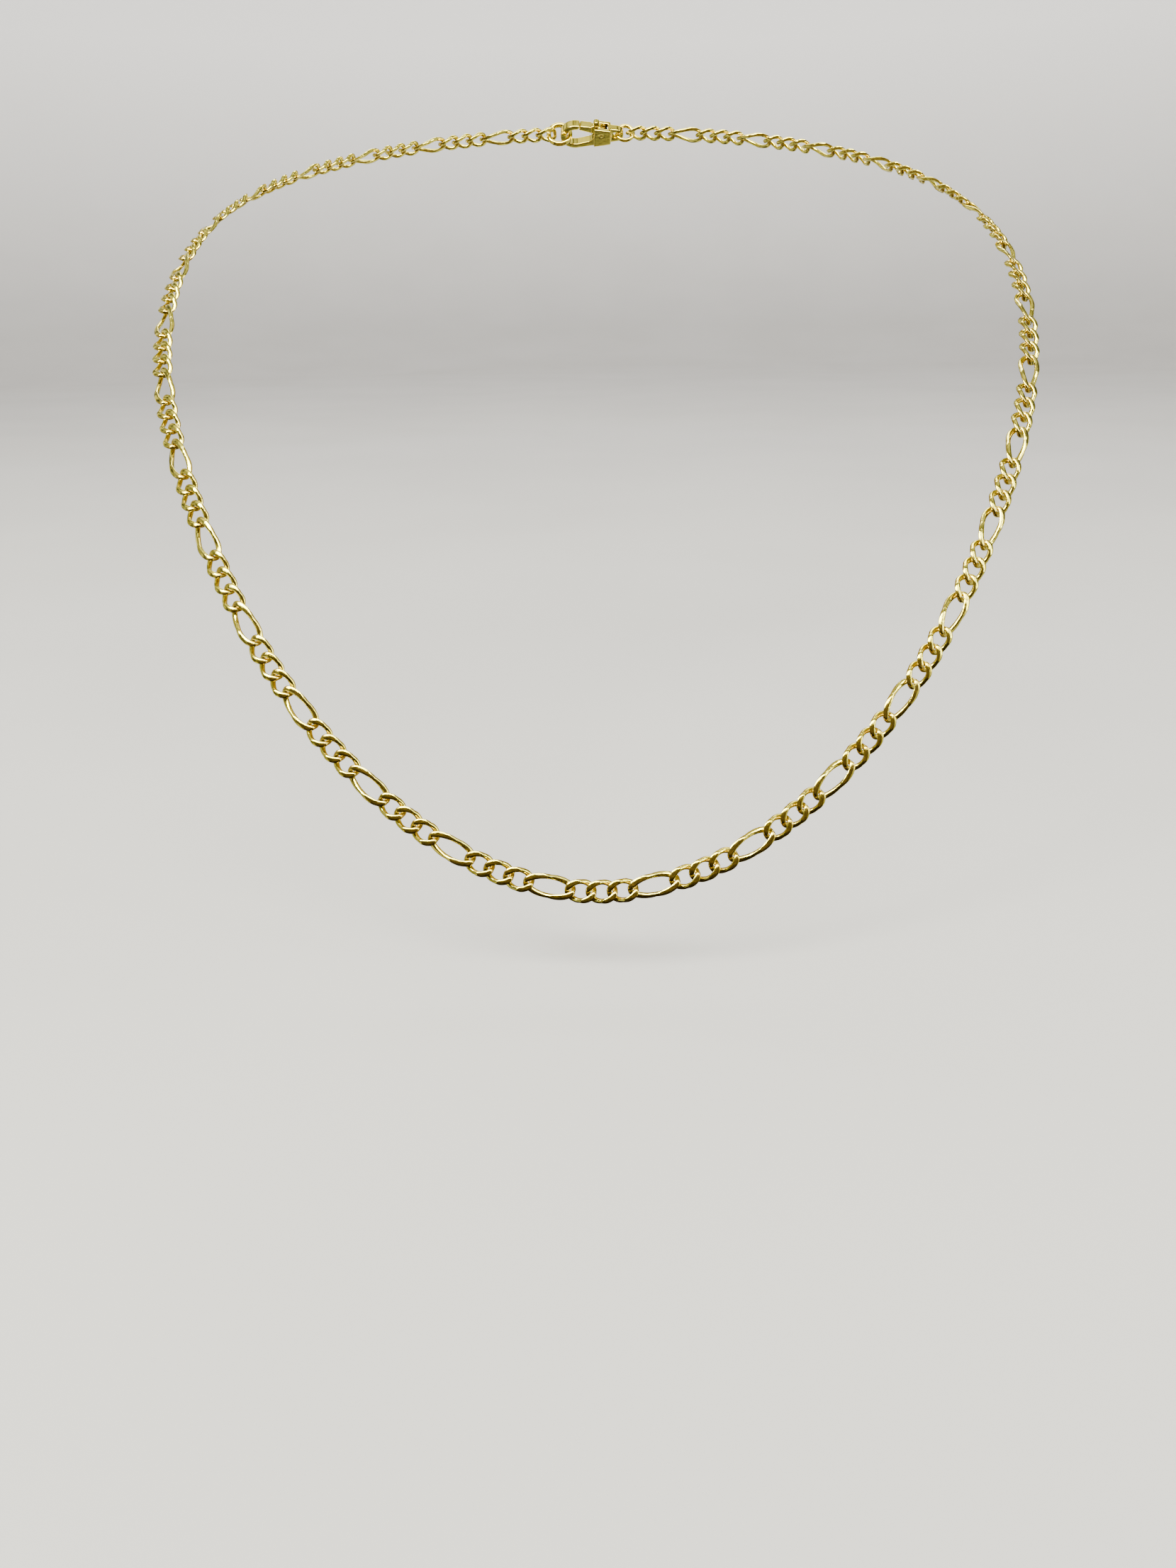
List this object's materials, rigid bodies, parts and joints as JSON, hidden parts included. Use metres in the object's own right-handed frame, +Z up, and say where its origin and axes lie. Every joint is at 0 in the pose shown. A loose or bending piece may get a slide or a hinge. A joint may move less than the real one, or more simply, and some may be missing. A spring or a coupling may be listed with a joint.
{
  "type": "chain necklace",
  "caption": "Figaro chain necklace of twisted oval links, one long link after every three short ones, closed behind the neck by a lobster clasp.",
  "frame": {"origin": "on the nape, in the middle of the clasp, where the closed necklace hangs on the neck", "axes": "+Z up, -Y towards the front of the wearer, X across the chest with -X on the left of a person who faces the necklace"},
  "size_m": [0.1292, 0.124, 0.1038],
  "materials": {
    "gold_long_links": "polished yellow gold plate",
    "gold_short_links": "polished yellow gold plate, with more wear where the links meet",
    "gold_findings": "cast and tumbled yellow gold plate",
    "spring_steel": "bare spring wire"
  },
  "bodies": {
    "clasp": {"clasp_body": "gold_findings", "trigger_pin": "gold_findings", "trigger_spring": "spring_steel"},
    "trigger": {"clasp_trigger": "gold_findings"},
    "end_ring": {"end_ring": "gold_findings"},
    "jump_ring": {"jump_ring": "gold_findings"},
    "short_links_16": {"short_links_16": "gold_short_links"},
    "long_links_16": {"long_link_left_16": "gold_long_links", "long_link_right_16": "gold_long_links"},
    "short_links_15": {"short_links_15": "gold_short_links"},
    "long_links_15": {"long_link_left_15": "gold_long_links", "long_link_right_15": "gold_long_links"},
    "short_links_14": {"short_links_14": "gold_short_links"},
    "long_links_14": {"long_link_left_14": "gold_long_links", "long_link_right_14": "gold_long_links"},
    "short_links_13": {"short_links_13": "gold_short_links"},
    "long_links_13": {"long_link_left_13": "gold_long_links", "long_link_right_13": "gold_long_links"},
    "short_links_12": {"short_links_12": "gold_short_links"},
    "long_links_12": {"long_link_left_12": "gold_long_links", "long_link_right_12": "gold_long_links"},
    "short_links_11": {"short_links_11": "gold_short_links"},
    "long_links_11": {"long_link_left_11": "gold_long_links", "long_link_right_11": "gold_long_links"},
    "short_links_10": {"short_links_10": "gold_short_links"},
    "long_links_10": {"long_link_left_10": "gold_long_links", "long_link_right_10": "gold_long_links"},
    "short_links_09": {"short_links_09": "gold_short_links"},
    "long_links_09": {"long_link_left_09": "gold_long_links", "long_link_right_09": "gold_long_links"},
    "short_links_08": {"short_links_08": "gold_short_links"},
    "long_links_08": {"long_link_left_08": "gold_long_links", "long_link_right_08": "gold_long_links"},
    "short_links_07": {"short_links_07": "gold_short_links"},
    "long_links_07": {"long_link_left_07": "gold_long_links", "long_link_right_07": "gold_long_links"},
    "short_links_06": {"short_links_06": "gold_short_links"},
    "long_links_06": {"long_link_left_06": "gold_long_links", "long_link_right_06": "gold_long_links"},
    "short_links_05": {"short_links_05": "gold_short_links"},
    "long_links_05": {"long_link_left_05": "gold_long_links", "long_link_right_05": "gold_long_links"},
    "short_links_04": {"short_links_04": "gold_short_links"},
    "long_links_04": {"long_link_left_04": "gold_long_links", "long_link_right_04": "gold_long_links"},
    "short_links_03": {"short_links_03": "gold_short_links"},
    "long_links_03": {"long_link_left_03": "gold_long_links", "long_link_right_03": "gold_long_links"},
    "short_links_02": {"short_links_02": "gold_short_links"},
    "long_links_02": {"long_link_left_02": "gold_long_links", "long_link_right_02": "gold_long_links"},
    "short_links_01": {"short_links_01": "gold_short_links"},
    "long_links_01": {"long_link_left_01": "gold_long_links", "long_link_right_01": "gold_long_links"},
    "short_links_front": {"short_links_front": "gold_short_links"}
  },
  "joints": [
    {"name": "trigger_hinge", "type": "hinge", "parent": "clasp", "child": "trigger", "pos_m": [0.0019, -0.00186, -0.00017], "axis": [0, -0.5479, -0.8365], "range_deg": [0, 20], "stiffness_Nm_per_rad": 0.002, "springref_deg": -5.73},
    {"name": "end_ring_spin", "type": "hinge", "parent": "clasp", "child": "end_ring", "pos_m": [-0.00605, -0.0014, -0.00047], "axis": [0, 0.8365, -0.5479], "continuous": true},
    {"name": "jump_ring_spin", "type": "hinge", "parent": "clasp", "child": "jump_ring", "pos_m": [0.00645, -0.0014, -0.00047], "axis": [0, 0.8365, -0.5479], "continuous": true},
    {"name": "short_links_16_lift", "type": "hinge", "parent": "clasp", "child": "short_links_16", "pos_m": [0, -0.0014, -0.00047], "axis": [-1, 0, 0], "range_deg": [0, 8]},
    {"name": "long_links_16_lift", "type": "hinge", "parent": "short_links_16", "child": "long_links_16", "pos_m": [0, -0.00278, -0.00093], "axis": [-1, 0, 0], "range_deg": [0, 8]},
    {"name": "short_links_15_lift", "type": "hinge", "parent": "long_links_16", "child": "short_links_15", "pos_m": [0, -0.00425, -0.00142], "axis": [-1, 0, 0], "range_deg": [0, 8]},
    {"name": "long_links_15_lift", "type": "hinge", "parent": "short_links_15", "child": "long_links_15", "pos_m": [0, -0.00725, -0.00242], "axis": [-1, 0, 0], "range_deg": [0, 8]},
    {"name": "short_links_14_lift", "type": "hinge", "parent": "long_links_15", "child": "short_links_14", "pos_m": [0, -0.00979, -0.00326], "axis": [-1, 0, 0], "range_deg": [0, 8]},
    {"name": "long_links_14_lift", "type": "hinge", "parent": "short_links_14", "child": "long_links_14", "pos_m": [0, -0.01436, -0.00479], "axis": [-1, 0, 0], "range_deg": [0, 8]},
    {"name": "short_links_13_lift", "type": "hinge", "parent": "long_links_14", "child": "short_links_13", "pos_m": [0, -0.01786, -0.00596], "axis": [-1, 0, 0], "range_deg": [0, 8]},
    {"name": "long_links_13_lift", "type": "hinge", "parent": "short_links_13", "child": "long_links_13", "pos_m": [0, -0.02366, -0.00796], "axis": [-1, 0, 0], "range_deg": [0, 8]},
    {"name": "short_links_12_lift", "type": "hinge", "parent": "long_links_13", "child": "short_links_12", "pos_m": [0, -0.02782, -0.00945], "axis": [-1, 0, 0], "range_deg": [0, 8]},
    {"name": "long_links_12_lift", "type": "hinge", "parent": "short_links_12", "child": "long_links_12", "pos_m": [0, -0.0344, -0.01194], "axis": [-1, 0, 0], "range_deg": [0, 8]},
    {"name": "short_links_11_lift", "type": "hinge", "parent": "long_links_12", "child": "short_links_11", "pos_m": [0, -0.03894, -0.0138], "axis": [-1, 0, 0], "range_deg": [0, 8]},
    {"name": "long_links_11_lift", "type": "hinge", "parent": "short_links_11", "child": "long_links_11", "pos_m": [0, -0.04592, -0.01694], "axis": [-1, 0, 0], "range_deg": [0, 8]},
    {"name": "short_links_10_lift", "type": "hinge", "parent": "long_links_11", "child": "short_links_10", "pos_m": [0, -0.0506, -0.01929], "axis": [-1, 0, 0], "range_deg": [0, 8]},
    {"name": "long_links_10_lift", "type": "hinge", "parent": "short_links_10", "child": "long_links_10", "pos_m": [0, -0.05757, -0.02323], "axis": [-1, 0, 0], "range_deg": [0, 8]},
    {"name": "short_links_09_lift", "type": "hinge", "parent": "long_links_10", "child": "short_links_09", "pos_m": [0, -0.06213, -0.02609], "axis": [-1, 0, 0], "range_deg": [0, 8]},
    {"name": "long_links_09_lift", "type": "hinge", "parent": "short_links_09", "child": "long_links_09", "pos_m": [0, -0.06878, -0.03072], "axis": [-1, 0, 0], "range_deg": [0, 8]},
    {"name": "short_links_08_lift", "type": "hinge", "parent": "long_links_09", "child": "short_links_08", "pos_m": [0, -0.07306, -0.03398], "axis": [-1, 0, 0], "range_deg": [0, 8]},
    {"name": "long_links_08_lift", "type": "hinge", "parent": "short_links_08", "child": "long_links_08", "pos_m": [0, -0.07923, -0.03908], "axis": [-1, 0, 0], "range_deg": [0, 8]},
    {"name": "short_links_07_lift", "type": "hinge", "parent": "long_links_08", "child": "short_links_07", "pos_m": [0, -0.08316, -0.04258], "axis": [-1, 0, 0], "range_deg": [0, 8]},
    {"name": "long_links_07_lift", "type": "hinge", "parent": "short_links_07", "child": "long_links_07", "pos_m": [0, -0.08876, -0.04795], "axis": [-1, 0, 0], "range_deg": [0, 8]},
    {"name": "short_links_06_lift", "type": "hinge", "parent": "long_links_07", "child": "short_links_06", "pos_m": [0, -0.09229, -0.05162], "axis": [-1, 0, 0], "range_deg": [0, 8]},
    {"name": "long_links_06_lift", "type": "hinge", "parent": "short_links_06", "child": "long_links_06", "pos_m": [0, -0.09725, -0.05726], "axis": [-1, 0, 0], "range_deg": [0, 8]},
    {"name": "short_links_05_lift", "type": "hinge", "parent": "long_links_06", "child": "short_links_05", "pos_m": [0, -0.10033, -0.06112], "axis": [-1, 0, 0], "range_deg": [0, 8]},
    {"name": "long_links_05_lift", "type": "hinge", "parent": "short_links_05", "child": "long_links_05", "pos_m": [0, -0.10458, -0.06702], "axis": [-1, 0, 0], "range_deg": [0, 8]},
    {"name": "short_links_04_lift", "type": "hinge", "parent": "long_links_05", "child": "short_links_04", "pos_m": [0, -0.10714, -0.07098], "axis": [-1, 0, 0], "range_deg": [0, 8]},
    {"name": "long_links_04_lift", "type": "hinge", "parent": "short_links_04", "child": "long_links_04", "pos_m": [0, -0.11055, -0.07688], "axis": [-1, 0, 0], "range_deg": [0, 8]},
    {"name": "short_links_03_lift", "type": "hinge", "parent": "long_links_04", "child": "short_links_03", "pos_m": [0, -0.11254, -0.08072], "axis": [-1, 0, 0], "range_deg": [0, 8]},
    {"name": "long_links_03_lift", "type": "hinge", "parent": "short_links_03", "child": "long_links_03", "pos_m": [0, -0.1152, -0.08619], "axis": [-1, 0, 0], "range_deg": [0, 8]},
    {"name": "short_links_02_lift", "type": "hinge", "parent": "long_links_03", "child": "short_links_02", "pos_m": [0, -0.11682, -0.08956], "axis": [-1, 0, 0], "range_deg": [0, 8]},
    {"name": "long_links_02_lift", "type": "hinge", "parent": "short_links_02", "child": "long_links_02", "pos_m": [0, -0.11898, -0.09403], "axis": [-1, 0, 0], "range_deg": [0, 8]},
    {"name": "short_links_01_lift", "type": "hinge", "parent": "long_links_02", "child": "short_links_01", "pos_m": [0, -0.12014, -0.09654], "axis": [-1, 0, 0], "range_deg": [0, 8]},
    {"name": "long_links_01_lift", "type": "hinge", "parent": "short_links_01", "child": "long_links_01", "pos_m": [0, -0.12126, -0.09937], "axis": [-1, 0, 0], "range_deg": [0, 8]},
    {"name": "short_links_front_lift", "type": "hinge", "parent": "long_links_01", "child": "short_links_front", "pos_m": [0, -0.1216, -0.10042], "axis": [-1, 0, 0], "range_deg": [0, 8]}
  ]
}
